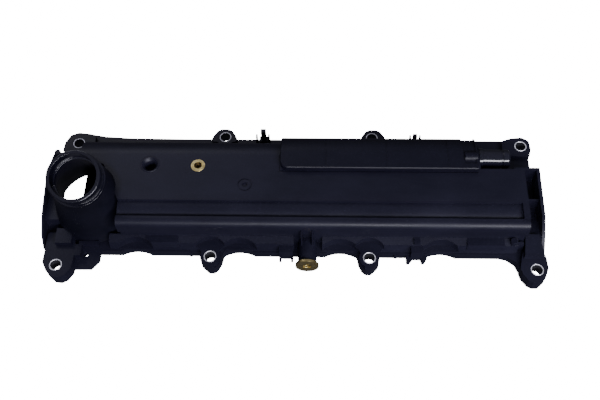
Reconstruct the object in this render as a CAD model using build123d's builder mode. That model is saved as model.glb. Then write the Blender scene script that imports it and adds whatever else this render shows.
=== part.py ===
from build123d import *
import math
import os

os.makedirs("parts", exist_ok=True)

# Plastic cam cover for a four-cylinder head, in millimetres.
# Frame: the sealing plane is z = 0 and the origin is the middle of the four corner bolts.
# +X runs along the cover away from the oil filler, +Y to the back edge, +Z up.

# ---------------------------------------------------------------- bolts
BOLT_SPAN_X = 388.0
BOLT_SPAN_Y = 118.6
BACK_MID_OUT = 7.6
FRONT_MID_IN = 9.0
FRONT_MID_SHIFT = -4.4
HALF_X = BOLT_SPAN_X / 2
HALF_Y = BOLT_SPAN_Y / 2
MID_PITCH = BOLT_SPAN_X / 3
BACK_MID_Y = HALF_Y + BACK_MID_OUT
FRONT_MID_Y = -HALF_Y + FRONT_MID_IN
LIMITER_OUTER_R = 5.3
LIMITER_WALL = 1.05
LIMITER_CHAMFER = 0.35
LIMITER_PROUD = 0.2
BOSS_TOP = 12.0
BOSS_R = LIMITER_OUTER_R + 2.9

# ---------------------------------------------------------------- flange
FLANGE_TOP = 8.0
DECK = 3.0
LEFT_MARGIN = 13.2
RIGHT_MARGIN = 6.5
FRONT_INSET = 14.7
BACK_MARGIN = 7.9
FLANGE_LEFT = -HALF_X - LEFT_MARGIN
FLANGE_RIGHT = HALF_X + RIGHT_MARGIN
FLANGE_FRONT = -HALF_Y + FRONT_INSET
FLANGE_BACK = HALF_Y + BACK_MARGIN
CORNER_CUT = 5.0
BACK_EDGE_INSET = 10.0
FRONT_TAPER = 32.0
LEFT_CORNER = (5.7, 20.0)
GROOVE_LEFT = FLANGE_LEFT + 2.4
GROOVE_RIGHT = FLANGE_RIGHT - 3.3
GROOVE_FRONT = FLANGE_FRONT + 5.4
GROOVE_BACK = FLANGE_BACK - 7.7
GROOVE_HALF = 1.2
GROOVE_DEPTH = 3.0
GROOVE_CORNER_R = 4.0
GROOVE_FRONT_CUT = 7.0
GROOVE_BACK_RIGHT_CUT = (16.2, 13.5)
GROOVE_BACK_LEFT_CUT = (29.8, 17.5)
LAND = 2.6
SCALLOP_SHARES = (-0.3368, -0.1170, 0.0943, 0.3055)
SCALLOP_R = 25.0
SCALLOP_DEPTH = 3.2
LUG_THICK = 5.0
LUG_HOLE_R = 1.8
LUG_HOLE_X = -HALF_X + 21.5
LUG_HOLE_Y = FLANGE_FRONT - 1.9

# Half width of a lobe around a middle bolt, at each reach beyond the bolt centre.
MID_BACK_LOBE = ((12.4, -4.9), (9.6, 2.0), (6.3, 6.8), (2.8, 8.5))
BACK_LOBE_SHIFTS = (-0.7, 1.0)
FRONT_LOBE_SHIFTS = (1.4, -0.9)
LOBE_ROUND = 2.4
MID_FRONT_LOBE = ((13.2, -16.3), (12.8, -10.3), (8.8, -3.8), (7.8, 2.1), (5.2, 7.5), (2.1, 10.2))
# Outlines around the corner bolts, as offsets from the bolt centre.
BACK_LEFT_LOBE = (
    (-13.2, -9.3),
    (-12.6, 2.8),
    (-8.4, 11.0),
    (-1.6, 13.7),
    (8.0, 12.4),
    (22.0, 10.0),
    (44.0, 8.5),
    (94.0, 7.9),
    (94.0, 0.7),
    (14.0, -9.3),
)
BACK_LEFT_PAD = (
    (-13.2, -9.3),
    (-12.6, 0.6),
    (-8.4, 8.8),
    (-1.6, 11.4),
    (8.0, 10.2),
    (14.0, 8.9),
    (14.0, -9.3),
)
BACK_RIGHT_LOBE = (
    (-16.0, -9.3),
    (-16.0, 5.4),
    (-8.0, 8.2),
    (1.6, 9.3),
    (7.8, 5.8),
    (8.6, -3.3),
    (6.5, -11.3),
)
FRONT_LEFT_LOBE = (
    (-11.0, 29.3),
    (-11.4, 2.3),
    (-7.4, -5.2),
    (-1.2, -10.5),
    (4.4, -11.3),
    (9.0, -8.7),
    (12.6, -2.7),
    (13.5, 3.3),
    (13.5, 17.3),
    (10.5, 29.3),
)
FRONT_RIGHT_LOBE = (
    (-10.0, 15.3),
    (-13.0, 1.3),
    (-11.8, -3.7),
    (-7.6, -9.5),
    (-4.0, -11.5),
    (0.8, -11.5),
    (6.2, -6.7),
    (9.3, 1.3),
    (9.0, 9.3),
    (6.5, 19.3),
)
FRONT_RIGHT_SWEEP = (
    (-44.0, 17.3),
    (-31.0, 15.3),
    (-22.0, 13.4),
    (-15.6, 8.8),
    (-12.2, 0.6),
    (-6.0, -0.7),
    (-6.0, 17.3),
)
THIN_LUG = (
    (10.0, 17.3),
    (10.0, 0.8),
    (26.6, 1.0),
    (32.6, 8.4),
    (32.6, 17.3),
)

# ---------------------------------------------------------------- housing
WALL = 3.0
ROOF = 46.0
HOUSING_LEFT = FLANGE_LEFT + 65.2
HOUSING_RIGHT = FLANGE_RIGHT - 15.5
HOUSING_LENGTH = HOUSING_RIGHT - HOUSING_LEFT
FRONT_WALL_Y = FLANGE_FRONT + 9.6
LEDGE_Z = ROOF - 16.0
LEDGE_REACH = 3.5
RIDGE_ROLL = 5.8
RIDGE_TOP = ROOF - 2.2
RIDGE_BACK_Y = FRONT_WALL_Y + 4.2
STEP_Y = FRONT_WALL_Y + 17.7
BAR_HIGH = ROOF - 2.4
BAR_LOW = ROOF - 6.5
BAR_ARC_Y = STEP_Y - 7.6
BAR_ARC_Z = BAR_HIGH - 0.9
BAR_FRAME = 5.0
ROLL_CENTRE_Y = FLANGE_BACK - 41.2
ROLL_R = 22.0
BACK_DRAFT = 20.0
REAR_BLOCK_LEFT = FLANGE_LEFT + 28.2
REAR_BLOCK_FRONT = ROLL_CENTRE_Y - 8.5
DIAGONAL_END = (HOUSING_LEFT - 15.7, REAR_BLOCK_FRONT - 1.6)
DIAGONAL_TURN = HOUSING_LEFT - 19.0
BAFFLE_UNDER = 14.5
BAFFLE_THICK = 2.0
BAFFLE_HEADROOM = 0.5
LOW_BLOCK_TOP = BAFFLE_UNDER + BAFFLE_THICK + BAFFLE_HEADROOM + WALL
LOW_BLOCK_FRONT = FRONT_WALL_Y + 13.0
LOW_BLOCK_BACK = ROLL_CENTRE_Y + 18.0
NOTCH_X = HOUSING_RIGHT - 35.0
NOTCH_Y = ROLL_CENTRE_Y - 12.0
END_WEB = 2.6
END_WEB_Y = NOTCH_Y + 14.0
END_WEB_TOP = 26.5
DIVIDER_HALF = 0.7
DIVIDER_Y = 0.0
DIVIDER_TOP = 21.0
END_RAMP = ((-8.0, FLANGE_TOP), (-22.0, 13.0), (-33.0, 16.0), (-33.0, FLANGE_TOP))

# ---------------------------------------------------------------- shelf and front details
SHELF_LEFT = HOUSING_LEFT - 10.0
SHELF_RIGHT = HOUSING_RIGHT - 5.0
SHELF_TOP = 19.0
SHELF_MID_Y = FRONT_WALL_Y - 6.0
SHELF_MID_Z = SHELF_TOP - 2.0
SHELF_FRONT_Y = FRONT_WALL_Y - 8.0
PAD_SHARES = ((-0.3139, -0.2448), (0.3582, 0.4356))
PAD_EDGE_Z = 14.0
PAD_REACH = 0.6
SCOOP_R = 20.0
SCOOP_BACK_Y = FRONT_WALL_Y - 1.5
SCOOP_FLOOR = FLANGE_TOP + 1.0
BOSS_POCKET_R = BOSS_R + 6.6
LEFT_BLOCK = (-3.0, 10.5, 17.8, 31.3)
LEFT_BLOCK_TOP = 16.0
RIGHT_BLOCK = ((-7.0, 29.3), (4.0, 29.3), (6.5, 9.7), (-9.6, 9.7))
RIGHT_BLOCK_TOP = 17.0
LEFT_PLATE = 1.5
LEFT_ARCH = (
    (42.0, 0.0),
    (42.0, 23.5),
    (38.5, 26.0),
    (24.0, 31.0),
    (13.0, 32.5),
    (-9.0, 28.0),
    (-21.0, 25.0),
    (-35.0, 17.0),
    (-42.0, 7.0),
    (-42.0, 0.0),
)
RIGHT_PLATE = 2.8
RIGHT_ARCH = (
    (END_WEB_Y, 0.0),
    (END_WEB_Y, END_WEB_TOP),
    (24.0, 26.8),
    (-17.0, 24.0),
    (-30.0, 16.5),
    (-43.0, 6.0),
    (-43.0, 0.0),
)

# ---------------------------------------------------------------- clips, stops and pegs
CLIP_ROOT_Z = 2.0
CLIP_X = -0.0188 * BOLT_SPAN_X
CLIP_W = 11.4
CLIP_TOP = 15.0
CLIP_OUT = 2.8
CLIP_PRONG = 1.8
CLIP_PRONG_OUT = 5.8
CLIP_PRONG_TOP = 7.0
HOOK_X = 0.2546 * BOLT_SPAN_X
HOOK_W = 9.6
HOOK_TOP = 16.0
HOOK_HEAD_W = 5.0
HOOK_HEAD_RISE = 4.0
HOOK_TIP_OUT = 6.8
HOOK_TIP_TOP = 6.0
HOOK_LEFT = ((-8.6, 1.6), (-8.2, -6.6), (-6.0, -6.8), (-2.0, -1.8), (-2.0, 1.6))
HOOK_RIGHT = ((2.2, 1.6), (4.2, -6.6), (6.4, -6.4), (8.8, -2.4), (8.8, 1.6))
TAB_X = -0.0784 * BOLT_SPAN_X
TAB_W = 4.4
TAB_TOP = 24.5
TAB_BASE_W = 7.4
TAB_BASE_TOP = 13.0
TAB_DEPTH = 3.6
BASE_STEP = 1.6
TAB_PRONGS = (-6.2, 4.4)
REST_X = 0.2629 * BOLT_SPAN_X
REST_W = 14.0
REST_TOP = 10.5
REST_STUD_W = 3.6
REST_STUD_TOP = 18.5
REST_PRONGS = (-4.0, 4.4)
PRONG_HALF = 0.7
PRONG_TOP = 16.5
NUB_SHARES = (-0.2216, 0.2113)
NUB_R = 1.6
PEG_R = 2.6
LEFT_PEG = (-HALF_X - 12.2, HALF_Y - 18.3)
LEFT_PEG_TOP = 25.5
RIGHT_PEG = (HALF_X - 18.0, FLANGE_FRONT + 6.0)
RIGHT_PEG_TOP = 22.0
STOP_LENGTH = 8.6
STOP_HALF = 1.5
STOP_TOP = 17.5
STRIP_TOP = 12.0
STRIP_LEFT = 5.5
STRIP_LENGTH = 16.0
STRIP_Y = FLANGE_FRONT + 4.0
STRIP_W = 3.2
POST_BLOCK_W = 5.4
POST_BLOCK_X = LUG_HOLE_X - LUG_HOLE_R - 1.0
POST_BLOCK_FRONT = LUG_HOLE_Y - 4.1

# ---------------------------------------------------------------- filler
FILLER_X = FLANGE_LEFT + 37.5
FILLER_RIM_Y = -15.2
FILLER_RIM_Z = ROOF + 31.2
FILLER_TILT = 17.0
NECK_LENGTH = 14.0
NECK_BORE_R = 18.2
NECK_LOWER_R = NECK_BORE_R - 0.6
NECK_R = NECK_BORE_R + 2.0
NECK_LIP_R = NECK_R + 1.1
NECK_LIP_H = 4.6
NECK_LIP_FILLET = 1.2
NECK_COLLAR_R = NECK_R + 2.1
NECK_COLLAR_H = 3.0
BAYONET_DEPTH = 10.0
BAYONET_THICK = 2.0
BAYONET_R = NECK_BORE_R - 1.3
BAYONET_GAP = 9.0
DRUM_TOP_R = NECK_R + 0.8
DRUM_BASE_R = DRUM_TOP_R + 12.0
DRUM_BASE_Y = -4.5
DRUM_MOUTH_R = DRUM_BASE_R - 5.5
DRUM_MOUTH_Y = -3.0

# ---------------------------------------------------------------- separator and spigot
LID_LENGTH = 0.4128 * BOLT_SPAN_X
LID_RIGHT = NOTCH_X - 2.6
LID_LEFT = LID_RIGHT - LID_LENGTH
LID_FRONT = ROLL_CENTRE_Y - 14.8
LID_THICK = 4.8
LID_WRAP = 42.0
LID_CORNER_R = 6.5
LID_GROOVE_W = 1.1
LID_GROOVE_D = 0.8
LID_RIM = 3.5
LID_RIM_GAP = 0.3
LID_RIM_WALL = 1.6
LID_RIM_DROP = 1.5
LID_POCKET = LID_THICK - 2.4
LID_EDGE = 0.6
LID_LINE_SHARES = (0.230, 0.538, 0.848)
LID_LINE_W = 0.6
LID_LINE_DEPTH = 0.35
LID_LINE_INSET = 2.0
LID_STEP_X = LID_RIGHT - 11.4
LID_STEP_INSET = 5.0
LID_STEP_END = 1.2
LID_STEP_DEPTH = 1.0
LID_BULGE_Y = ROLL_CENTRE_Y - 2.0
LID_BULGE_R = LID_THICK
LID_BULGE_LIFT = 1.6
CHAMBER_LEFT = LID_LEFT - 5.2
CHAMBER_FRONT = LID_FRONT - 4.2
CHAMBER_BACK = ROLL_CENTRE_Y + 14.0
CHAMBER_BACK_TOP = ROOF - 9.0
RIB = 2.0
SPIGOT_Y = ROLL_CENTRE_Y + 2.4
SPIGOT_Z = ROOF - 7.5
SPIGOT_R = 7.8
SPIGOT_BORE_R = SPIGOT_R - 2.8
SPIGOT_LENGTH = 25.4
SPIGOT_FOOT_R = SPIGOT_R + 1.0
SPIGOT_FOOT = 3.0
SPIGOT_BEAD = 5.6
SPIGOT_GROOVE = 1.6
SPIGOT_GROOVE_DEPTH = 0.7
SPIGOT_SOCKET_R = SPIGOT_R - 1.6
SPIGOT_LEAD_IN = 1.4

# ---------------------------------------------------------------- baffle and screws
BAFFLE_GAP = 0.6
BAFFLE_LEFT = REAR_BLOCK_LEFT - 1.2
BAFFLE_STEP_X = HOUSING_LEFT + WALL + 2.0
BAFFLE_SIDE_GAP = 1.5
BAFFLE_RIGHT = NOTCH_X - WALL - BAFFLE_GAP
BAFFLE_FRONT = FRONT_WALL_Y + WALL + 3.0
BAFFLE_CORNER = 9.0
BAFFLE_RIB = 2.5
BAFFLE_RIB_HALF = 0.8
BAFFLE_RIB_YS = (STEP_Y + 5.3, STEP_Y + 19.3)
SCREW_R = 1.5
SCREW_HEAD_R = 3.6
SCREW_HEAD_H = 2.4
SCREW_GRIP = 9.0
SCREW_DRIVE_R = 1.8
SCREW_DRIVE_DEPTH = 1.4
POST_R = SCREW_R + 2.1
FRONT_POST_SHARES = (0.0428, 0.3119, 0.5872, 0.8379)
FRONT_POST_Y = STEP_Y - 6.7
FRONT_POST_TOP = BAR_LOW - 0.5
BACK_POST_SHARES = (0.0428, 0.2446)
BACK_POST_Y = CHAMBER_BACK - 4.0
BACK_POST_TOP = ROOF - 5.5
CHAMBER_POST = (CHAMBER_LEFT - 6.0, CHAMBER_BACK - 2.0)
INLET_COUNT = 4
INLET_PITCH = 6.0
INLET_START = 8.0
INLET_W = 3.0
INLET_INSET = 6.0
NOZZLE_X = CHAMBER_LEFT + 76.0
NOZZLE_THICK = 2.0
NOZZLE_PITCH = 8.0
NOZZLE_R = 2.0
NOZZLE_RISE = 14.0
NOZZLE_GAP = 0.3
FLEECE_GAP = 3.0
FLEECE_THICK = 8.0
FLEECE_SIDE_GAP = 0.5
FLEECE_TOP = ROOF - 5.0
GASKET_GAP = 0.1

# ---------------------------------------------------------------- drain valve
VALVE_X = NOTCH_X - 32.0
VALVE_Y = ROLL_CENTRE_Y - 2.0
BALL_R = 3.6
VALVE_PORT_R = BALL_R - 0.6
BALL_TRAVEL = 2.0
CAGE_GUIDE_GAP = 0.25
CAGE_WALL = 1.6
CAGE_FLOOR = 1.4
CAGE_FOOT_R = BALL_R + CAGE_GUIDE_GAP + CAGE_WALL + 2.55
CAGE_FOOT_H = 1.2
SEAT_GAP = 0.05
CAGE_WINDOW = 3.0
CAGE_DRAIN_R = 1.4

# ---------------------------------------------------------------- inserts and pillar
INSERT_X = HOUSING_LEFT + 0.1896 * HOUSING_LENGTH
INSERT_Y = ROLL_CENTRE_Y - 10.8
INSERT_R = 4.0
INSERT_FLANGE_R = INSERT_R + 1.8
INSERT_FLANGE_H = 0.8
INSERT_LENGTH = 9.0
INSERT_TAP_R = INSERT_R - 1.5
INSERT_PROUD = 0.2
INSERT_BOSS_R = INSERT_R + 3.5
INSERT_BOSS_LENGTH = INSERT_LENGTH + 5.0
EMPTY_HOLE_X = HOUSING_LEFT + 0.0688 * HOUSING_LENGTH
EMPTY_HOLE_Y = ROLL_CENTRE_Y - 10.2
EMPTY_HOLE_R = 4.6
EMPTY_HOLE_WALL = 2.6
EMPTY_HOLE_DEPTH = 11.0
EMPTY_HOLE_BEVEL = 1.7
DIMPLE_X = HOUSING_LEFT + 0.3095 * HOUSING_LENGTH
DIMPLE_Y = STEP_Y + 14.7
DIMPLE_R = 2.2
DIMPLE_RING_R = DIMPLE_R + 3.6
DIMPLE_RING_W = 0.9
DIMPLE_RING_DEPTH = 0.6
DIMPLE_DEPTH = 1.2
PILLAR_X = 0.0258 * BOLT_SPAN_X
PILLAR_Z = 10.0
PILLAR_R = 7.6
PILLAR_FACE_Y = FLANGE_FRONT - 11.1
PILLAR_POCKET = (11.0, 12.0)
PILLAR_POCKET_FRONT = FLANGE_FRONT - 1.4
GUSSET_HALF = 0.6
GUSSET_SPREAD = 4.4
GUSSET_FRONT = FRONT_WALL_Y - 7.0
GUSSET_TOP = LEDGE_Z + 6.0
STUD_FLANGE_R = 9.5
STUD_FLANGE_H = 2.0
STUD_BODY_R = 5.4
STUD_BODY_LENGTH = 13.0
STUD_TAP_R = STUD_BODY_R - 2.0
STUD_TAP_END = 2.0

# Tools that cut right through stand proud of the face by this much; joined lumps sink in by it.
OVER = 1.0
CAVITY_DROP = OVER


# ---------------------------------------------------------------- helpers
def wall_y(z, radius):
    """Back wall position at a height, for the outer skin or for one inside it."""
    lean = math.radians(BACK_DRAFT)
    start_y = ROLL_CENTRE_Y + radius * math.cos(lean)
    start_z = ROOF - ROLL_R + radius * math.sin(lean)
    return start_y + (start_z - z) * math.tan(lean)


def on_roll(angle, radius):
    """Point on the rolled back edge; angle up from level."""
    turn = math.radians(angle)
    return (ROLL_CENTRE_Y + radius * math.cos(turn), ROOF - ROLL_R + radius * math.sin(turn))


def block(x0, x1, y0, y1, z0, z1, mode=Mode.ADD):
    with BuildSketch(Plane.XY.offset(z0)) as base:
        with Locations(((x0 + x1) / 2, (y0 + y1) / 2)):
            Rectangle(abs(x1 - x0), abs(y1 - y0))
    extrude(base.sketch, amount=z1 - z0, mode=mode)


def prism_z(points, z0, z1, mode=Mode.ADD, corner_r=0.0):
    with BuildSketch(Plane.XY.offset(z0)) as base:
        Polygon(*points, align=None)
        if corner_r > 0.0:
            fillet(base.vertices(), radius=corner_r)
    extrude(base.sketch, amount=z1 - z0, mode=mode)


def prism_x(points, x0, x1, mode=Mode.ADD):
    with BuildSketch(Plane.YZ.offset(x0)) as base:
        Polygon(*points, align=None)
    extrude(base.sketch, amount=x1 - x0, mode=mode)


def upright(x, y, radius, z0, z1, mode=Mode.ADD):
    with BuildSketch(Plane.XY.offset(z0)) as base:
        with Locations((x, y)):
            Circle(radius)
    extrude(base.sketch, amount=z1 - z0, mode=mode)


def roof_section(x, front, floor_z, top_z, radius):
    """Closed side profile of the plain roof: front face, flat top, rolled back edge, leaning wall."""
    roll_end = on_roll(BACK_DRAFT, radius)
    with BuildSketch(Plane.YZ.offset(x)) as section:
        with BuildLine():
            Polyline(
                (wall_y(floor_z, radius), floor_z),
                (front, floor_z),
                (front, top_z),
                (ROLL_CENTRE_Y, top_z),
            )
            ThreePointArc((ROLL_CENTRE_Y, top_z), on_roll((90 + BACK_DRAFT) / 2, radius), roll_end)
            Line(roll_end, (wall_y(floor_z, radius), floor_z))
        make_face()
    return section.sketch


def around(centre, offsets):
    """Outline given as offsets from a centre."""
    return [(centre[0] + dx, centre[1] + dy) for dx, dy in offsets]


def lobe(bolt, widths, outward):
    """Symmetric lobe round a middle bolt; outward is +1 towards the back, -1 towards the front."""
    right = [(bolt[0] + half, bolt[1] + outward * reach) for half, reach in widths]
    left = [(bolt[0] - half, bolt[1] + outward * reach) for half, reach in reversed(widths)]
    return right + left


def groove_path(grow):
    """Gasket line around the sealing face, grown or shrunk by a distance."""
    with BuildSketch() as path:
        Polygon(
            (GROOVE_LEFT, GROOVE_FRONT + GROOVE_FRONT_CUT),
            (GROOVE_LEFT + GROOVE_FRONT_CUT, GROOVE_FRONT),
            (GROOVE_RIGHT - GROOVE_FRONT_CUT, GROOVE_FRONT),
            (GROOVE_RIGHT, GROOVE_FRONT + GROOVE_FRONT_CUT),
            (GROOVE_RIGHT, GROOVE_BACK - GROOVE_BACK_RIGHT_CUT[1]),
            (GROOVE_RIGHT - GROOVE_BACK_RIGHT_CUT[0], GROOVE_BACK),
            (GROOVE_LEFT + GROOVE_BACK_LEFT_CUT[0], GROOVE_BACK),
            (GROOVE_LEFT, GROOVE_BACK - GROOVE_BACK_LEFT_CUT[1]),
            align=None,
        )
        fillet(path.vertices(), radius=GROOVE_CORNER_R)
        offset(amount=grow, mode=Mode.REPLACE)
    return path.sketch


back_bolts = [
    (-HALF_X, HALF_Y),
    (-MID_PITCH / 2, BACK_MID_Y),
    (MID_PITCH / 2, BACK_MID_Y),
    (HALF_X, HALF_Y),
]
front_bolts = [
    (-HALF_X, -HALF_Y),
    (FRONT_MID_SHIFT - MID_PITCH / 2, FRONT_MID_Y),
    (FRONT_MID_SHIFT + MID_PITCH / 2, FRONT_MID_Y),
    (HALF_X, -HALF_Y),
]
all_bolts = back_bolts + front_bolts
scallop_xs = [share * BOLT_SPAN_X for share in SCALLOP_SHARES]
front_posts = [(HOUSING_LEFT + share * HOUSING_LENGTH, FRONT_POST_Y) for share in FRONT_POST_SHARES]
back_posts = [(HOUSING_LEFT + share * HOUSING_LENGTH, BACK_POST_Y) for share in BACK_POST_SHARES]
back_posts.append(CHAMBER_POST)
all_posts = front_posts + back_posts
ledge_y = FRONT_WALL_Y - LEDGE_REACH
lip_y = ledge_y + RIDGE_ROLL
deck_under = FLANGE_TOP - DECK
inner_r = ROLL_R - WALL
baffle_top = BAFFLE_UNDER + BAFFLE_THICK

opening_left = LID_LEFT + LID_RIM
opening_right = LID_RIGHT - LID_RIM - WALL
opening_front = LID_FRONT + LID_RIM
rim_in = LID_RIM_GAP + LID_RIM_WALL

# The filler axis leans to the front; the drum ends square to it, one neck length below the rim.
tilt = math.radians(FILLER_TILT)
filler_axis = (0.0, -math.sin(tilt), math.cos(tilt))
neck_base = (
    FILLER_X,
    FILLER_RIM_Y + NECK_LENGTH * math.sin(tilt),
    FILLER_RIM_Z - NECK_LENGTH * math.cos(tilt),
)
neck_plane = Plane(origin=neck_base, x_dir=(1, 0, 0), z_dir=filler_axis)

# Diagonal edge of the roof beside the filler, then the way round behind it.
roof_edge = [
    (HOUSING_LEFT, STEP_Y),
    DIAGONAL_END,
    (DIAGONAL_TURN, REAR_BLOCK_FRONT),
    (REAR_BLOCK_LEFT - OVER, REAR_BLOCK_FRONT),
    (REAR_BLOCK_LEFT - OVER, STEP_Y - OVER),
]
roof_edge_inner = [
    (HOUSING_LEFT + WALL, STEP_Y + WALL),
    (DIAGONAL_END[0] + WALL, DIAGONAL_END[1] + 1.5 * WALL),
    (DIAGONAL_TURN + 0.5 * WALL, REAR_BLOCK_FRONT + 1.5 * WALL),
    (REAR_BLOCK_LEFT, REAR_BLOCK_FRONT + 1.5 * WALL),
    (REAR_BLOCK_LEFT, STEP_Y - OVER),
]

# ---------------------------------------------------------------- hollow of the cover
with BuildPart() as hollow:
    # rear-left roof, limited by the diagonal edge
    rear_hollow = roof_section(REAR_BLOCK_LEFT + WALL, STEP_Y + WALL, -CAVITY_DROP, ROOF - WALL, inner_r)
    extrude(rear_hollow, amount=HOUSING_LEFT - REAR_BLOCK_LEFT)
    prism_z(
        [(HOUSING_LEFT + WALL, STEP_Y - OVER)] + roof_edge_inner,
        LOW_BLOCK_TOP - WALL,
        ROOF,
        mode=Mode.SUBTRACT,
    )
    # long housing up to the corner notch
    long_hollow = roof_section(HOUSING_LEFT + WALL, STEP_Y + WALL, -CAVITY_DROP, ROOF - WALL, inner_r)
    extrude(long_hollow, amount=NOTCH_X - HOUSING_LEFT - 2 * WALL)
    # beside the notch
    block(
        NOTCH_X - WALL - OVER,
        HOUSING_RIGHT - WALL,
        STEP_Y + WALL,
        NOTCH_Y - WALL,
        -CAVITY_DROP,
        ROOF - WALL,
    )
    # under the bar recess and inside the front ridge
    prism_x(
        [
            (STEP_Y + WALL + OVER, -CAVITY_DROP),
            (FRONT_WALL_Y + WALL, -CAVITY_DROP),
            (FRONT_WALL_Y + WALL, LEDGE_Z + WALL),
            (ledge_y + WALL, LEDGE_Z + WALL),
            (ledge_y + WALL, BAR_LOW - WALL),
            (RIDGE_BACK_Y + WALL, BAR_LOW - WALL),
            (STEP_Y + OVER, BAR_HIGH - WALL),
            (STEP_Y + WALL + OVER, BAR_HIGH - WALL),
        ],
        HOUSING_LEFT + WALL,
        HOUSING_RIGHT - WALL,
    )
    # low block under the filler drum
    block(
        GROOVE_LEFT + LAND,
        HOUSING_LEFT + WALL + OVER,
        LOW_BLOCK_FRONT + WALL,
        LOW_BLOCK_BACK - WALL,
        -CAVITY_DROP,
        LOW_BLOCK_TOP - WALL,
    )
    # the drum bore
    upright(FILLER_X, DRUM_MOUTH_Y, DRUM_MOUTH_R, -CAVITY_DROP, LOW_BLOCK_TOP - WALL)
    with BuildSketch(Plane.XY.offset(LOW_BLOCK_TOP - WALL)):
        with Locations((FILLER_X, DRUM_MOUTH_Y)):
            Circle(DRUM_MOUTH_R)
    with BuildSketch(neck_plane):
        Circle(NECK_LOWER_R)
    loft()
    # shallow pocket inside the gasket land
    add(extrude(Plane.XY.offset(-CAVITY_DROP) * groove_path(-LAND), amount=deck_under + CAVITY_DROP))

# ---------------------------------------------------------------- cover body
with BuildPart() as cover_body:
    # plain roof over the rear-left end, cut back along the diagonal edge
    rear_roof = roof_section(REAR_BLOCK_LEFT, STEP_Y, deck_under, ROOF, ROLL_R)
    extrude(rear_roof, amount=HOUSING_LEFT - REAR_BLOCK_LEFT)
    prism_z(
        [(HOUSING_LEFT, STEP_Y - OVER)] + roof_edge,
        LOW_BLOCK_TOP,
        ROOF + 1,
        mode=Mode.SUBTRACT,
    )
    # long housing with its two ridges along the front
    long_roof = roof_section(HOUSING_LEFT, RIDGE_BACK_Y, deck_under, ROOF, ROLL_R)
    extrude(long_roof, amount=HOUSING_RIGHT - HOUSING_LEFT)
    with BuildSketch(Plane.YZ.offset(HOUSING_LEFT)):
        with BuildLine():
            Polyline(
                (RIDGE_BACK_Y, RIDGE_TOP),
                (RIDGE_BACK_Y, deck_under),
                (FRONT_WALL_Y, deck_under),
                (FRONT_WALL_Y, LEDGE_Z),
                (ledge_y, LEDGE_Z),
                (ledge_y, RIDGE_TOP - RIDGE_ROLL),
            )
            RadiusArc((ledge_y, RIDGE_TOP - RIDGE_ROLL), (lip_y, RIDGE_TOP), RIDGE_ROLL)
            Line((lip_y, RIDGE_TOP), (RIDGE_BACK_Y, RIDGE_TOP))
        make_face()
    extrude(amount=HOUSING_RIGHT - HOUSING_LEFT)
    # recess of the rear ridge, with its rounded bar, closed at the right end
    with BuildSketch(Plane.YZ.offset(HOUSING_LEFT - OVER)):
        with BuildLine():
            Polyline(
                (RIDGE_BACK_Y, BAR_LOW),
                (RIDGE_BACK_Y, ROOF + OVER),
                (STEP_Y, ROOF + OVER),
                (STEP_Y, BAR_HIGH),
            )
            ThreePointArc((STEP_Y, BAR_HIGH), (BAR_ARC_Y, BAR_ARC_Z), (RIDGE_BACK_Y, BAR_LOW))
        make_face()
    extrude(amount=HOUSING_LENGTH - BAR_FRAME + OVER, mode=Mode.SUBTRACT)
    # corner notch at the back right
    block(NOTCH_X, HOUSING_RIGHT + OVER, NOTCH_Y, FLANGE_BACK, FLANGE_TOP, ROOF + OVER, mode=Mode.SUBTRACT)
    # low block and drum of the filler
    block(FLANGE_LEFT, HOUSING_LEFT + OVER, LOW_BLOCK_FRONT, LOW_BLOCK_BACK, deck_under, LOW_BLOCK_TOP)
    with BuildSketch(Plane.XY.offset(FLANGE_TOP)):
        with Locations((FILLER_X, DRUM_BASE_Y)):
            Circle(DRUM_BASE_R)
    with BuildSketch(neck_plane):
        Circle(DRUM_TOP_R)
    loft()

    # flange plate, scalloped along the front
    with BuildSketch():
        Polygon(
            (-HALF_X + BACK_EDGE_INSET, FLANGE_BACK),
            (HALF_X - BACK_EDGE_INSET, FLANGE_BACK),
            (FLANGE_RIGHT, FLANGE_BACK - CORNER_CUT),
            (FLANGE_RIGHT, FLANGE_FRONT + CORNER_CUT),
            (FLANGE_RIGHT - CORNER_CUT, FLANGE_FRONT),
            (-HALF_X + FRONT_TAPER, FLANGE_FRONT),
            (FLANGE_LEFT, FLANGE_FRONT + CORNER_CUT),
            (FLANGE_LEFT, HALF_Y - LEFT_CORNER[1]),
            (FLANGE_LEFT + LEFT_CORNER[0], HALF_Y),
            align=None,
        )
        for scallop_x in scallop_xs:
            with Locations((scallop_x, FLANGE_FRONT - SCALLOP_R + SCALLOP_DEPTH)):
                Circle(SCALLOP_R, mode=Mode.SUBTRACT)
    extrude(amount=FLANGE_TOP)
    # back lobes, level with the bosses; the left one runs out low along the back edge
    prism_z(around(back_bolts[0], BACK_LEFT_LOBE), 0.0, FLANGE_TOP, corner_r=LOBE_ROUND)
    prism_z(around(back_bolts[0], BACK_LEFT_PAD), 0.0, BOSS_TOP, corner_r=LOBE_ROUND)
    prism_z(around(back_bolts[3], BACK_RIGHT_LOBE), 0.0, BOSS_TOP, corner_r=LOBE_ROUND)
    for (bolt_x, bolt_y), shift in zip(back_bolts[1:3], BACK_LOBE_SHIFTS):
        outline = lobe((bolt_x + shift, bolt_y), MID_BACK_LOBE, 1)
        prism_z(outline, 0.0, BOSS_TOP, corner_r=LOBE_ROUND)
    # front lobes stand as high as the bosses and run back to the wall
    prism_z(around(front_bolts[0], FRONT_LEFT_LOBE), 0.0, BOSS_TOP, corner_r=LOBE_ROUND)
    prism_z(around(front_bolts[3], FRONT_RIGHT_LOBE), 0.0, BOSS_TOP, corner_r=LOBE_ROUND)
    prism_z(around(front_bolts[3], FRONT_RIGHT_SWEEP), 0.0, FLANGE_TOP)
    for (bolt_x, bolt_y), shift in zip(front_bolts[1:3], FRONT_LOBE_SHIFTS):
        outline = lobe((bolt_x + shift, bolt_y), MID_FRONT_LOBE, -1)
        prism_z(outline, 0.0, BOSS_TOP, corner_r=LOBE_ROUND)
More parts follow.
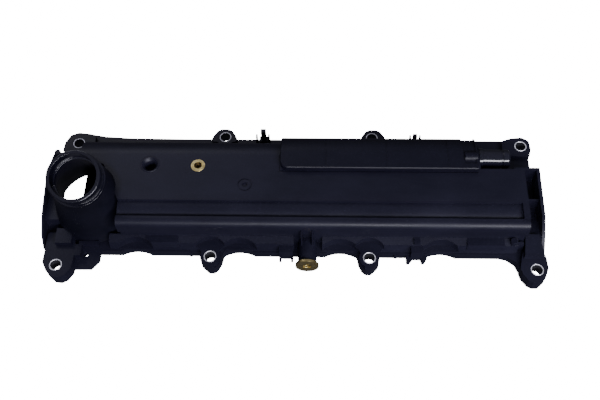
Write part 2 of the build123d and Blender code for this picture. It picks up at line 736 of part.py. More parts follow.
    # thin lug beside the front-left boss
    prism_z(around(front_bolts[0], THIN_LUG), 0.0, LUG_THICK)
    upright(LUG_HOLE_X, LUG_HOLE_Y, LUG_HOLE_R, -OVER, FLANGE_TOP + OVER, mode=Mode.SUBTRACT)

    # shelf along the front wall, scooped between the bosses
    prism_x(
        [
            (FRONT_WALL_Y + OVER, deck_under),
            (FRONT_WALL_Y + OVER, SHELF_TOP),
            (FRONT_WALL_Y, SHELF_TOP),
            (SHELF_MID_Y, SHELF_MID_Z),
            (SHELF_FRONT_Y, FLANGE_TOP),
            (SHELF_FRONT_Y, deck_under),
        ],
        SHELF_LEFT,
        SHELF_RIGHT,
    )
    for left_share, right_share in PAD_SHARES:
        prism_x(
            [
                (FRONT_WALL_Y + OVER, SHELF_TOP),
                (SHELF_MID_Y - PAD_REACH, SHELF_TOP),
                (SHELF_FRONT_Y + PAD_REACH, PAD_EDGE_Z),
                (SHELF_FRONT_Y + PAD_REACH, BOSS_TOP),
                (FRONT_WALL_Y + OVER, BOSS_TOP),
            ],
            left_share * BOLT_SPAN_X,
            right_share * BOLT_SPAN_X,
        )
    for scallop_x in scallop_xs:
        upright(scallop_x, SCOOP_BACK_Y - SCOOP_R, SCOOP_R, SCOOP_FLOOR, LEDGE_Z, mode=Mode.SUBTRACT)
    for bolt_x, bolt_y in front_bolts[1:3]:
        upright(bolt_x, bolt_y, BOSS_POCKET_R, BOSS_TOP, LEDGE_Z, mode=Mode.SUBTRACT)
    block(
        PILLAR_X - PILLAR_POCKET[0],
        PILLAR_X + PILLAR_POCKET[1],
        PILLAR_POCKET_FRONT,
        FRONT_WALL_Y,
        FLANGE_TOP,
        LEDGE_Z,
        mode=Mode.SUBTRACT,
    )
    # raised blocks behind the two front corner bosses
    block(
        -HALF_X + LEFT_BLOCK[0],
        -HALF_X + LEFT_BLOCK[1],
        -HALF_Y + LEFT_BLOCK[2],
        -HALF_Y + LEFT_BLOCK[3],
        FLANGE_TOP,
        LEFT_BLOCK_TOP,
    )
    prism_z(around(front_bolts[3], RIGHT_BLOCK), FLANGE_TOP, RIGHT_BLOCK_TOP)
    # bosses
    for bolt_x, bolt_y in all_bolts:
        upright(bolt_x, bolt_y, BOSS_R, 0.0, BOSS_TOP)

    # end plates that follow the cam bearing arches
    prism_x(LEFT_ARCH, FLANGE_LEFT - LEFT_PLATE, FLANGE_LEFT)
    prism_x(RIGHT_ARCH, FLANGE_RIGHT, FLANGE_RIGHT + RIGHT_PLATE)
    # webs that close the bay between the housing and the right plate
    block(HOUSING_RIGHT - WALL, FLANGE_RIGHT, END_WEB_Y - END_WEB, END_WEB_Y, FLANGE_TOP, END_WEB_TOP)
    block(HOUSING_RIGHT - WALL, HOUSING_RIGHT, NOTCH_Y - WALL, END_WEB_Y, FLANGE_TOP, END_WEB_TOP)
    block(
        HOUSING_RIGHT,
        FLANGE_RIGHT,
        DIVIDER_Y - DIVIDER_HALF,
        DIVIDER_Y + DIVIDER_HALF,
        FLANGE_TOP,
        DIVIDER_TOP,
    )
    prism_x(END_RAMP, HOUSING_RIGHT, FLANGE_RIGHT)

    # pillar for the side insert, with two thin gussets up to the ledge
    with BuildSketch(Plane.XZ.offset(-FRONT_WALL_Y - OVER)):
        with Locations((PILLAR_X, PILLAR_Z)):
            Circle(PILLAR_R)
    extrude(amount=-PILLAR_FACE_Y + FRONT_WALL_Y + OVER)
    for rib_x in (PILLAR_X - GUSSET_SPREAD, PILLAR_X + GUSSET_SPREAD):
        block(rib_x - GUSSET_HALF, rib_x + GUSSET_HALF, GUSSET_FRONT, FRONT_WALL_Y, PILLAR_Z, GUSSET_TOP)

    # cable clip left of the pillar, with two prongs
    clip_left = CLIP_X - CLIP_W / 2
    clip_right = CLIP_X + CLIP_W / 2
    block(clip_left, clip_right, FLANGE_FRONT - CLIP_OUT, FRONT_WALL_Y, CLIP_ROOT_Z, CLIP_TOP)
    for prong_x in (clip_left, clip_right - CLIP_PRONG):
        block(
            prong_x,
            prong_x + CLIP_PRONG,
            FLANGE_FRONT - CLIP_PRONG_OUT,
            FLANGE_FRONT - CLIP_OUT,
            CLIP_ROOT_Z,
            CLIP_PRONG_TOP,
        )
    # hooked clip towards the right
    block(
        HOOK_X - HOOK_W / 2,
        HOOK_X + HOOK_W / 2,
        FLANGE_FRONT - CLIP_OUT,
        FRONT_WALL_Y,
        CLIP_ROOT_Z,
        HOOK_TOP,
    )
    block(
        HOOK_X - HOOK_HEAD_W / 2,
        HOOK_X + HOOK_HEAD_W / 2,
        SHELF_MID_Y,
        FRONT_WALL_Y,
        HOOK_TOP,
        HOOK_TOP + HOOK_HEAD_RISE,
    )
    for hook in (HOOK_LEFT, HOOK_RIGHT):
        prism_z(around((HOOK_X, FLANGE_FRONT), hook), CLIP_ROOT_Z, HOOK_TIP_TOP)
    # tab and rest on the back edge, each between thin prongs
    tab_front = FLANGE_BACK - TAB_DEPTH
    base_front = tab_front - BASE_STEP
    block(TAB_X - TAB_W / 2, TAB_X + TAB_W / 2, tab_front, FLANGE_BACK, FLANGE_TOP, TAB_TOP)
    block(TAB_X - TAB_BASE_W / 2, TAB_X + TAB_BASE_W / 2, base_front, FLANGE_BACK, FLANGE_TOP, TAB_BASE_TOP)
    block(REST_X - REST_W / 2, REST_X + REST_W / 2, base_front, FLANGE_BACK, FLANGE_TOP, REST_TOP)
    stud_left = REST_X - REST_STUD_W / 2
    block(stud_left, stud_left + REST_STUD_W, tab_front, FLANGE_BACK, FLANGE_TOP, REST_STUD_TOP)
    prong_xs = [TAB_X + dx for dx in TAB_PRONGS] + [REST_X + dx for dx in REST_PRONGS]
    for prong_x in prong_xs:
        block(prong_x - PRONG_HALF, prong_x + PRONG_HALF, tab_front, FLANGE_BACK, FLANGE_TOP, PRONG_TOP)
    # nubs, pegs and stops
    for share in NUB_SHARES:
        upright(share * BOLT_SPAN_X, FLANGE_FRONT, NUB_R, CLIP_ROOT_Z, FLANGE_TOP)
    upright(LEFT_PEG[0], LEFT_PEG[1], PEG_R, FLANGE_TOP, LEFT_PEG_TOP)
    upright(RIGHT_PEG[0], RIGHT_PEG[1], PEG_R, FLANGE_TOP, RIGHT_PEG_TOP)
    block(
        RIGHT_PEG[0],
        RIGHT_PEG[0] + STOP_LENGTH,
        RIGHT_PEG[1] - STOP_HALF,
        RIGHT_PEG[1] + STOP_HALF,
        FLANGE_TOP,
        STOP_TOP,
    )
    block(
        POST_BLOCK_X - POST_BLOCK_W,
        POST_BLOCK_X,
        POST_BLOCK_FRONT,
        STRIP_Y,
        LUG_THICK - OVER,
        STRIP_TOP,
    )
    strip_left = LUG_HOLE_X - STRIP_LEFT
    block(strip_left, strip_left + STRIP_LENGTH, STRIP_Y, STRIP_Y + STRIP_W, FLANGE_TOP, STRIP_TOP)

    # hollow out, then put back what hangs inside
    add(hollow.part, mode=Mode.SUBTRACT)
    chamber_right = NOTCH_X - WALL
    block(CHAMBER_LEFT, chamber_right, CHAMBER_FRONT, CHAMBER_FRONT + RIB, baffle_top, ROOF - WALL)
    block(CHAMBER_LEFT, chamber_right, CHAMBER_BACK, CHAMBER_BACK + RIB, baffle_top, CHAMBER_BACK_TOP)
    block(CHAMBER_LEFT, CHAMBER_LEFT + RIB, CHAMBER_FRONT, CHAMBER_BACK + RIB, baffle_top, CHAMBER_BACK_TOP)
    block(CHAMBER_LEFT, CHAMBER_LEFT + RIB, CHAMBER_FRONT, ROLL_CENTRE_Y, CHAMBER_BACK_TOP, ROOF - WALL)
    for post_x, post_y in front_posts:
        upright(post_x, post_y, POST_R, baffle_top, FRONT_POST_TOP)
    for post_x, post_y in back_posts:
        upright(post_x, post_y, POST_R, baffle_top, BACK_POST_TOP)
    for post_x, post_y in all_posts:
        upright(post_x, post_y, SCREW_R, baffle_top, baffle_top + SCREW_GRIP, mode=Mode.SUBTRACT)
    upright(INSERT_X, INSERT_Y, INSERT_BOSS_R, ROOF - INSERT_BOSS_LENGTH, ROOF - OVER)
    upright(
        EMPTY_HOLE_X,
        EMPTY_HOLE_Y,
        EMPTY_HOLE_R + EMPTY_HOLE_WALL,
        ROOF - EMPTY_HOLE_DEPTH - EMPTY_HOLE_WALL,
        ROOF - OVER,
    )

    # roof details: open socket, insert seat, dimple, lid groove
    socket_floor = ROOF - EMPTY_HOLE_DEPTH
    upright(EMPTY_HOLE_X, EMPTY_HOLE_Y, EMPTY_HOLE_R, socket_floor, ROOF + OVER, mode=Mode.SUBTRACT)
    with BuildSketch(Plane.XY.offset(ROOF)):
        with Locations((EMPTY_HOLE_X, EMPTY_HOLE_Y)):
            Circle(EMPTY_HOLE_R + EMPTY_HOLE_BEVEL)
    extrude(amount=-EMPTY_HOLE_BEVEL, taper=45, mode=Mode.SUBTRACT)
    upright(INSERT_X, INSERT_Y, INSERT_R, ROOF - INSERT_LENGTH, ROOF + OVER, mode=Mode.SUBTRACT)
    upright(INSERT_X, INSERT_Y, INSERT_FLANGE_R, ROOF - INSERT_FLANGE_H, ROOF + OVER, mode=Mode.SUBTRACT)
    upright(DIMPLE_X, DIMPLE_Y, DIMPLE_RING_R, ROOF - DIMPLE_RING_DEPTH, ROOF + OVER, mode=Mode.SUBTRACT)
    upright(DIMPLE_X, DIMPLE_Y, DIMPLE_RING_R - DIMPLE_RING_W, ROOF - OVER, ROOF)
    upright(DIMPLE_X, DIMPLE_Y, DIMPLE_R, ROOF - DIMPLE_DEPTH, ROOF + OVER, mode=Mode.SUBTRACT)
    groove_left = LID_LEFT - LID_GROOVE_W
    groove_front = LID_FRONT - LID_GROOVE_W
    groove_floor = ROOF - LID_GROOVE_D
    block(groove_left, LID_RIGHT, groove_front, LID_FRONT, groove_floor, ROOF + OVER, mode=Mode.SUBTRACT)
    block(groove_left, LID_LEFT, LID_FRONT, ROLL_CENTRE_Y, groove_floor, ROOF + OVER, mode=Mode.SUBTRACT)
    # opening under the separator lid
    block(
        opening_left,
        opening_right,
        opening_front,
        ROLL_CENTRE_Y,
        ROOF - WALL - OVER,
        ROOF + OVER,
        mode=Mode.SUBTRACT,
    )
    # bore for the spigot
    with BuildSketch(Plane.YZ.offset(NOTCH_X - WALL - OVER)):
        with Locations((SPIGOT_Y, SPIGOT_Z)):
            Circle(SPIGOT_SOCKET_R)
    extrude(amount=WALL + 2 * OVER, mode=Mode.SUBTRACT)
    # bolt holes, insert bores, gasket groove
    for bolt_x, bolt_y in all_bolts:
        upright(bolt_x, bolt_y, LIMITER_OUTER_R, -OVER, BOSS_TOP + OVER, mode=Mode.SUBTRACT)
    with BuildSketch(Plane.XZ.offset(-PILLAR_FACE_Y + OVER)):
        with Locations((PILLAR_X, PILLAR_Z)):
            Circle(STUD_BODY_R)
    extrude(amount=-STUD_BODY_LENGTH - OVER, mode=Mode.SUBTRACT)
    groove_ring = groove_path(GROOVE_HALF) - groove_path(-GROOVE_HALF)
    add(extrude(groove_ring, amount=GROOVE_DEPTH), mode=Mode.SUBTRACT)

cover_body.part.label = "cover_body"
export_step(cover_body.part, "parts/cover_body.step")

# ---------------------------------------------------------------- filler neck, welded on the drum
with BuildPart() as filler_neck:
    with BuildSketch(neck_plane):
        Circle(NECK_R)
    extrude(amount=NECK_LENGTH)
    with BuildSketch(neck_plane):
        Circle(NECK_COLLAR_R)
    extrude(amount=NECK_COLLAR_H)
    with BuildSketch(neck_plane.offset(NECK_LENGTH - NECK_LIP_H)):
        Circle(NECK_LIP_R)
    extrude(amount=NECK_LIP_H)
    rim_edges = filler_neck.edges().filter_by(GeomType.CIRCLE)
    fillet(rim_edges.sort_by(neck_plane.location.z_axis)[-1], radius=NECK_LIP_FILLET)
    # wide bore down to the ledge, a narrower one below it
    with BuildSketch(neck_plane):
        Circle(NECK_LOWER_R)
    extrude(amount=NECK_LENGTH, mode=Mode.SUBTRACT)
    with BuildSketch(neck_plane.offset(NECK_LENGTH - BAYONET_DEPTH)):
        Circle(NECK_BORE_R)
    extrude(amount=BAYONET_DEPTH, mode=Mode.SUBTRACT)
    # bayonet ledge with two gaps for the cap's lugs
    with BuildSketch(neck_plane.offset(NECK_LENGTH - BAYONET_DEPTH - BAYONET_THICK)):
        Circle(NECK_LOWER_R)
        Circle(BAYONET_R, mode=Mode.SUBTRACT)
        Rectangle(2 * NECK_LOWER_R, BAYONET_GAP, mode=Mode.SUBTRACT)
    extrude(amount=BAYONET_THICK)
filler_neck.part.label = "filler_neck"
export_step(filler_neck.part, "parts/filler_neck.step")


# ---------------------------------------------------------------- separator cover, welded on the roof
def skin_section(x, front, inner_r, outer_r, end_angle):
    """Side profile of a skin that lies on the roof and wraps over its rolled back edge."""
    centre_z = ROOF - ROLL_R
    mid = (90 + end_angle) / 2
    with BuildSketch(Plane.YZ.offset(x)) as section:
        with BuildLine():
            Line((front, centre_z + inner_r), (front, centre_z + outer_r))
            Line((front, centre_z + outer_r), (ROLL_CENTRE_Y, centre_z + outer_r))
            ThreePointArc(
                (ROLL_CENTRE_Y, centre_z + outer_r),
                on_roll(mid, outer_r),
                on_roll(end_angle, outer_r),
            )
            Line(on_roll(end_angle, outer_r), on_roll(end_angle, inner_r))
            ThreePointArc(
                on_roll(end_angle, inner_r),
                on_roll(mid, inner_r),
                (ROLL_CENTRE_Y, centre_z + inner_r),
            )
            Line((ROLL_CENTRE_Y, centre_z + inner_r), (front, centre_z + inner_r))
        make_face()
    return section.sketch


with BuildPart() as separator_cover:
    extrude(skin_section(LID_LEFT, LID_FRONT, ROLL_R, ROLL_R + LID_THICK, LID_WRAP), amount=LID_LENGTH)
    front_corners = separator_cover.edges().filter_by(Axis.Z).group_by(Axis.Y)[0].sort_by(Axis.X)
    fillet(front_corners[0], radius=LID_CORNER_R)
    top_edges = separator_cover.faces().filter_by(Axis.Z).sort_by(Axis.Z)[-1].edges()
    chamfer(top_edges.sort_by(Axis.Y)[0], length=LID_EDGE)
    # weld ribs show through as fine lines, and the outlet end steps down
    skin_top = ROLL_R + LID_THICK
    for share in LID_LINE_SHARES:
        line_cut = skin_section(
            LID_LEFT + share * LID_LENGTH,
            LID_FRONT + LID_LINE_INSET,
            skin_top - LID_LINE_DEPTH,
            skin_top + OVER,
            LID_WRAP + LID_STEP_INSET,
        )
        extrude(line_cut, amount=LID_LINE_W, mode=Mode.SUBTRACT)
    step_cut = skin_section(
        LID_STEP_X,
        LID_FRONT + LID_STEP_INSET,
        skin_top - LID_STEP_DEPTH,
        skin_top + OVER,
        LID_WRAP - LID_STEP_INSET,
    )
    extrude(step_cut, amount=LID_RIGHT - LID_STEP_X - LID_STEP_END, mode=Mode.SUBTRACT)
    # rounded swelling over the outlet, cut level with the roof
    with BuildSketch(Plane.YZ.offset(LID_STEP_X + LID_STEP_END)):
        with Locations((LID_BULGE_Y, ROOF + LID_BULGE_LIFT)):
            Circle(LID_BULGE_R)
        with Locations((LID_BULGE_Y, ROOF - LID_BULGE_R)):
            Rectangle(4 * LID_BULGE_R, 2 * LID_BULGE_R, mode=Mode.SUBTRACT)
    extrude(amount=LID_RIGHT - LID_STEP_X - LID_STEP_END)
    # pocket over the opening and the locating rim that drops into it
    block(
        opening_left + LID_RIM_GAP,
        opening_right - LID_RIM_GAP,
        opening_front + LID_RIM_GAP,
        ROLL_CENTRE_Y - LID_RIM_GAP,
        ROOF - LID_RIM_DROP,
        ROOF,
    )
    block(
        opening_left + rim_in,
        opening_right - rim_in,
        opening_front + rim_in,
        ROLL_CENTRE_Y - rim_in,
        ROOF - LID_RIM_DROP,
        ROOF + LID_POCKET,
        mode=Mode.SUBTRACT,
    )
separator_cover.part.label = "separator_cover"
export_step(separator_cover.part, "parts/separator_cover.step")

# ---------------------------------------------------------------- breather spigot
spigot_end = NOTCH_X + SPIGOT_LENGTH


def along_x(x0, x1, radius, mode=Mode.ADD):
    """Round length along X on the spigot axis."""
    with BuildSketch(Plane.YZ.offset(x0)) as ring:
        with Locations((SPIGOT_Y, SPIGOT_Z)):
            Circle(radius)
    extrude(ring.sketch, amount=x1 - x0, mode=mode)


with BuildPart() as breather_spigot:
    along_x(NOTCH_X - WALL, NOTCH_X, SPIGOT_SOCKET_R)
    along_x(NOTCH_X, NOTCH_X + SPIGOT_FOOT, SPIGOT_FOOT_R)
    along_x(NOTCH_X, spigot_end, SPIGOT_R - SPIGOT_GROOVE_DEPTH)
    along_x(NOTCH_X, spigot_end - SPIGOT_BEAD - SPIGOT_GROOVE, SPIGOT_R)
    along_x(spigot_end - SPIGOT_BEAD, spigot_end, SPIGOT_R)
    chamfer(breather_spigot.edges().filter_by(GeomType.CIRCLE).sort_by(Axis.X)[-1], length=SPIGOT_LEAD_IN)
    along_x(NOTCH_X - WALL, spigot_end, SPIGOT_BORE_R, mode=Mode.SUBTRACT)
breather_spigot.part.label = "breather_spigot"
export_step(breather_spigot.part, "parts/breather_spigot.step")

# ---------------------------------------------------------------- baffle plate under the roof
bay_front = LOW_BLOCK_FRONT + WALL + BAFFLE_SIDE_GAP
bay_back = LOW_BLOCK_BACK - WALL - BAFFLE_SIDE_GAP
with BuildPart() as baffle_plate:
    with BuildSketch(Plane.XY.offset(BAFFLE_UNDER)):
        with BuildLine():
            Polyline(
                (BAFFLE_LEFT, bay_front + BAFFLE_CORNER),
                (BAFFLE_LEFT + BAFFLE_CORNER, bay_front),
                (BAFFLE_STEP_X, bay_front),
                (BAFFLE_STEP_X, BAFFLE_FRONT),
                (BAFFLE_RIGHT, BAFFLE_FRONT),
                (BAFFLE_RIGHT, CHAMBER_BACK + RIB),
                (BAFFLE_STEP_X, CHAMBER_BACK + RIB),
                (BAFFLE_LEFT, bay_back),
                close=True,
            )
        make_face()
    extrude(amount=BAFFLE_THICK)
    # stiffening ribs between the screws
    for rib_y in BAFFLE_RIB_YS:
        block(
            BAFFLE_STEP_X + BAFFLE_CORNER,
            BAFFLE_RIGHT - BAFFLE_CORNER,
            rib_y - BAFFLE_RIB_HALF,
            rib_y + BAFFLE_RIB_HALF,
            BAFFLE_UNDER - BAFFLE_RIB,
            BAFFLE_UNDER,
        )
    for post_x, post_y in all_posts:
        upright(post_x, post_y, SCREW_R, BAFFLE_UNDER - OVER, baffle_top + OVER, mode=Mode.SUBTRACT)
    upright(VALVE_X, VALVE_Y, VALVE_PORT_R, BAFFLE_UNDER - OVER, baffle_top + OVER, mode=Mode.SUBTRACT)
    # gas inlet slots into the separator chamber
    for number in range(INLET_COUNT):
        slot_x = CHAMBER_LEFT + INLET_START + number * INLET_PITCH
        block(
            slot_x,
            slot_x + INLET_W,
            CHAMBER_FRONT + INLET_INSET,
            CHAMBER_BACK - INLET_INSET,
            BAFFLE_UNDER - OVER,
            baffle_top + OVER,
            mode=Mode.SUBTRACT,
        )
baffle_plate.part.label = "baffle_plate"
export_step(baffle_plate.part, "parts/baffle_plate.step")

with BuildPart() as baffle_screws:
    for post_x, post_y in all_posts:
        upright(post_x, post_y, SCREW_HEAD_R, BAFFLE_UNDER - SCREW_HEAD_H, BAFFLE_UNDER)
        upright(post_x, post_y, SCREW_R, BAFFLE_UNDER, baffle_top + SCREW_GRIP - OVER)
        with BuildSketch(Plane.XY.offset(BAFFLE_UNDER - SCREW_HEAD_H)):
            with Locations((post_x, post_y)):
                RegularPolygon(SCREW_DRIVE_R, 6)
        extrude(amount=SCREW_DRIVE_DEPTH, mode=Mode.SUBTRACT)
baffle_screws.part.label = "baffle_screws"
export_step(baffle_screws.part, "parts/baffle_screws.step")

# ---------------------------------------------------------------- oil drain valve under the chamber
ball_shut_z = BAFFLE_UNDER - math.sqrt(BALL_R**2 - VALVE_PORT_R**2) - SEAT_GAP
ball_open_z = ball_shut_z - BALL_TRAVEL
cage_floor_z = ball_open_z - BALL_R - SEAT_GAP
cage_in_r = BALL_R + CAGE_GUIDE_GAP
with BuildPart() as drain_cage:
    upright(VALVE_X, VALVE_Y, CAGE_FOOT_R, BAFFLE_UNDER - CAGE_FOOT_H, BAFFLE_UNDER)
    upright(VALVE_X, VALVE_Y, cage_in_r + CAGE_WALL, cage_floor_z - CAGE_FLOOR, BAFFLE_UNDER)
    upright(VALVE_X, VALVE_Y, cage_in_r, cage_floor_z, BAFFLE_UNDER + OVER, mode=Mode.SUBTRACT)
    cage_bottom_z = cage_floor_z - CAGE_FLOOR
    upright(VALVE_X, VALVE_Y, CAGE_DRAIN_R, cage_bottom_z - OVER, cage_floor_z + OVER, mode=Mode.SUBTRACT)
    block(
        VALVE_X - CAGE_FOOT_R,
        VALVE_X + CAGE_FOOT_R,
        VALVE_Y - CAGE_WINDOW / 2,
        VALVE_Y + CAGE_WINDOW / 2,
        cage_floor_z,
        BAFFLE_UNDER - CAGE_FOOT_H - OVER,
        mode=Mode.SUBTRACT,
    )
drain_cage.part.label = "drain_cage"
export_step(drain_cage.part, "parts/drain_cage.step")

with BuildPart() as drain_ball:
    with Locations((VALVE_X, VALVE_Y, ball_open_z)):
        Sphere(BALL_R)
drain_ball.part.label = "drain_ball"
export_step(drain_ball.part, "parts/drain_ball.step")

# ---------------------------------------------------------------- separator insides
chamber_mid_y = (CHAMBER_FRONT + RIB + CHAMBER_BACK) / 2
nozzle_top = ROOF - WALL - NOZZLE_GAP
with BuildPart() as nozzle_plate:
    prism_x(
        [
            (CHAMBER_FRONT + RIB, baffle_top),
            (CHAMBER_BACK, baffle_top),
            (CHAMBER_BACK, CHAMBER_BACK_TOP - RIB / 2),
            (CHAMBER_BACK - 3 * RIB, nozzle_top - RIB),
            (ROLL_CENTRE_Y, nozzle_top),
            (CHAMBER_FRONT + RIB, nozzle_top),
        ],
        NOZZLE_X,
        NOZZLE_X + NOZZLE_THICK,
    )
    with BuildSketch(Plane.YZ.offset(NOZZLE_X - OVER)):
        with Locations((chamber_mid_y, baffle_top + NOZZLE_RISE)):
            with GridLocations(NOZZLE_PITCH, NOZZLE_PITCH, 3, 2):
                Circle(NOZZLE_R)
    extrude(amount=NOZZLE_THICK + 2 * OVER, mode=Mode.SUBTRACT)
nozzle_plate.part.label = "nozzle_plate"
export_step(nozzle_plate.part, "parts/nozzle_plate.step")

fleece_front = CHAMBER_FRONT + RIB + FLEECE_SIDE_GAP
fleece_back = CHAMBER_BACK - FLEECE_SIDE_GAP
with BuildPart() as fleece_pad:
    prism_x(
        [
            (fleece_front, baffle_top),
            (fleece_back, baffle_top),
            (fleece_back, CHAMBER_BACK_TOP - 1.5 * RIB),
            (fleece_back - 3 * RIB, FLEECE_TOP - RIB),
            (ROLL_CENTRE_Y, FLEECE_TOP),
            (fleece_front, FLEECE_TOP),
        ],
        NOZZLE_X + NOZZLE_THICK + FLEECE_GAP,
        NOZZLE_X + NOZZLE_THICK + FLEECE_GAP + FLEECE_THICK,
    )
fleece_pad.part.label = "fleece_pad"
export_step(fleece_pad.part, "parts/fleece_pad.step")

# ---------------------------------------------------------------- gasket
with BuildPart() as gasket:
    gasket_ring = groove_path(GROOVE_HALF - GASKET_GAP) - groove_path(-GROOVE_HALF + GASKET_GAP)
    add(extrude(gasket_ring, amount=GROOVE_DEPTH))
gasket.part.label = "gasket"
export_step(gasket.part, "parts/gasket.step")


# ---------------------------------------------------------------- compression limiters, one per bolt
def limiter(bolt_x, bolt_y):
    """Steel sleeve, a little proud of its boss, with broken bore edges."""
    with BuildPart() as sleeve:
        upright(bolt_x, bolt_y, LIMITER_OUTER_R, 0.0, BOSS_TOP + LIMITER_PROUD)
        bore_r = LIMITER_OUTER_R - LIMITER_WALL
        upright(bolt_x, bolt_y, bore_r, -OVER, BOSS_TOP + OVER, mode=Mode.SUBTRACT)
        chamfer(sleeve.edges().filter_by(GeomType.CIRCLE).group_by(Axis.Z)[-1], length=LIMITER_CHAMFER)
    return sleeve.part


for row_name, row_bolts in (("back", back_bolts), ("front", front_bolts)):
    for number, (bolt_x, bolt_y) in enumerate(row_bolts, start=1):
        sleeve = limiter(bolt_x, bolt_y)
        sleeve.label = f"limiter_{row_name}_{number}"
        export_step(sleeve, f"parts/limiter_{row_name}_{number}.step")

# ---------------------------------------------------------------- threaded inserts
with BuildPart() as insert_top:
    upright(INSERT_X, INSERT_Y, INSERT_R, ROOF - INSERT_LENGTH, ROOF)
    upright(INSERT_X, INSERT_Y, INSERT_FLANGE_R, ROOF - INSERT_FLANGE_H, ROOF + INSERT_PROUD)
    upright(INSERT_X, INSERT_Y, INSERT_TAP_R, ROOF - INSERT_LENGTH - OVER, ROOF + OVER, mode=Mode.SUBTRACT)
insert_top.part.label = "insert_top"
export_step(insert_top.part, "parts/insert_top.step")


def along_y(y0, y1, radius, mode=Mode.ADD):
    """Round length on the pillar axis, from y0 forward to y1."""
    with BuildSketch(Plane.XZ.offset(-y0)) as ring:
        with Locations((PILLAR_X, PILLAR_Z)):
            Circle(radius)
    extrude(ring.sketch, amount=y0 - y1, mode=mode)


with BuildPart() as insert_pillar:
    along_y(PILLAR_FACE_Y + STUD_BODY_LENGTH, PILLAR_FACE_Y, STUD_BODY_R)
    along_y(PILLAR_FACE_Y, PILLAR_FACE_Y - STUD_FLANGE_H, STUD_FLANGE_R)
    tap_start = PILLAR_FACE_Y + STUD_BODY_LENGTH - STUD_TAP_END
    along_y(tap_start, PILLAR_FACE_Y - STUD_FLANGE_H, STUD_TAP_R, mode=Mode.SUBTRACT)
insert_pillar.part.label = "insert_pillar"
export_step(insert_pillar.part, "parts/insert_pillar.step")
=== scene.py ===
import math

import bmesh
import bpy
from mathutils import Matrix, Vector


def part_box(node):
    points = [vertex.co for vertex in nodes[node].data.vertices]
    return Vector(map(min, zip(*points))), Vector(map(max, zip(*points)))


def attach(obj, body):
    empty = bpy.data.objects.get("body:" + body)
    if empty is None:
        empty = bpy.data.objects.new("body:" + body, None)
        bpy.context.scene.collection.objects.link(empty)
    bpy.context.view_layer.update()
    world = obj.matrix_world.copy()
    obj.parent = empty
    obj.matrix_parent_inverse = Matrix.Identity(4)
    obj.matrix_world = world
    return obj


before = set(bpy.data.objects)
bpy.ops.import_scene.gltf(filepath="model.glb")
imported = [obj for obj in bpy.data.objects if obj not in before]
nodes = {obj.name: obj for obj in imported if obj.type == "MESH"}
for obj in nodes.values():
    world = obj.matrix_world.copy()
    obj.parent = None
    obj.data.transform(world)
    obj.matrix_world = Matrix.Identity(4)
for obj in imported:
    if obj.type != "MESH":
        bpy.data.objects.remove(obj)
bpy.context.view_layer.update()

# ---------------------------------------------------------------- colours
PLASTIC = (0.0052, 0.0050, 0.0112)
LID_DARK = (0.0038, 0.0037, 0.0085)
PLASTIC_LIGHT = (0.0092, 0.0090, 0.0185)
PLASTIC_SCUFF = (0.022, 0.022, 0.036)
SPIGOT = (0.0030, 0.0030, 0.0060)
BRASS = (0.74, 0.62, 0.29)
BRASS_DULL = (0.44, 0.35, 0.14)
# brass darkened as painted shade, for the thread inside the roof insert's bore
BRASS_SHADE = (0.22, 0.14, 0.05)
BRASS_SHADE_DULL = (0.05, 0.034, 0.014)
# painted shade inside the roof insert's bore
BORE_SHADE_DARK = (0.020, 0.015, 0.008)
BORE_SHADE_LIGHT = (0.09, 0.065, 0.025)
STEEL = (0.92, 0.92, 0.94)
STEEL_DULL = (0.55, 0.55, 0.57)
# painted shade for the limiter sleeves: their bores, outsides and undersides
SLEEVE_SHADE_DARK = (0.020, 0.020, 0.024)
SLEEVE_SHADE_LIGHT = (0.055, 0.055, 0.062)
FLEECE = (0.55, 0.54, 0.50)
FLEECE_DARK = (0.40, 0.39, 0.35)
RUBBER = (0.012, 0.012, 0.014)
RUBBER_LIGHT = (0.03, 0.03, 0.032)
BLACK = (0.0, 0.0, 0.0)


# ---------------------------------------------------------------- materials
def shader(name):
    """A new material with its node tree emptied down to one Principled shader."""
    mat = bpy.data.materials.new(name)
    mat.use_nodes = True
    tree = mat.node_tree
    tree.nodes.clear()
    out = tree.nodes.new("ShaderNodeOutputMaterial")
    bsdf = tree.nodes.new("ShaderNodeBsdfPrincipled")
    tree.links.new(bsdf.outputs["BSDF"], out.inputs["Surface"])
    return mat, tree, bsdf


def noise(tree, scale, detail=4.0, rough=0.55, stretch=(1.0, 1.0, 1.0)):
    """Noise in object space, which is the row frame in metres."""
    coord = tree.nodes.new("ShaderNodeTexCoord")
    mapping = tree.nodes.new("ShaderNodeMapping")
    mapping.inputs["Scale"].default_value = stretch
    tex = tree.nodes.new("ShaderNodeTexNoise")
    tex.inputs["Scale"].default_value = scale
    tex.inputs["Detail"].default_value = detail
    tex.inputs["Roughness"].default_value = rough
    tree.links.new(coord.outputs["Object"], mapping.inputs["Vector"])
    tree.links.new(mapping.outputs["Vector"], tex.inputs["Vector"])
    return tex.outputs["Fac"]


def ramp(tree, value, low, high, a, b):
    """Colour from a to b as value goes from low to high."""
    node = tree.nodes.new("ShaderNodeValToRGB")
    node.color_ramp.elements[0].position = low
    node.color_ramp.elements[0].color = (*a, 1.0)
    node.color_ramp.elements[1].position = high
    node.color_ramp.elements[1].color = (*b, 1.0)
    tree.links.new(value, node.inputs["Fac"])
    return node.outputs["Color"]


def span(tree, value, low, high, a, b):
    """Number from a to b as value goes from low to high."""
    node = tree.nodes.new("ShaderNodeMapRange")
    node.inputs["From Min"].default_value = low
    node.inputs["From Max"].default_value = high
    node.inputs["To Min"].default_value = a
    node.inputs["To Max"].default_value = b
    tree.links.new(value, node.inputs["Value"])
    return node.outputs["Result"]


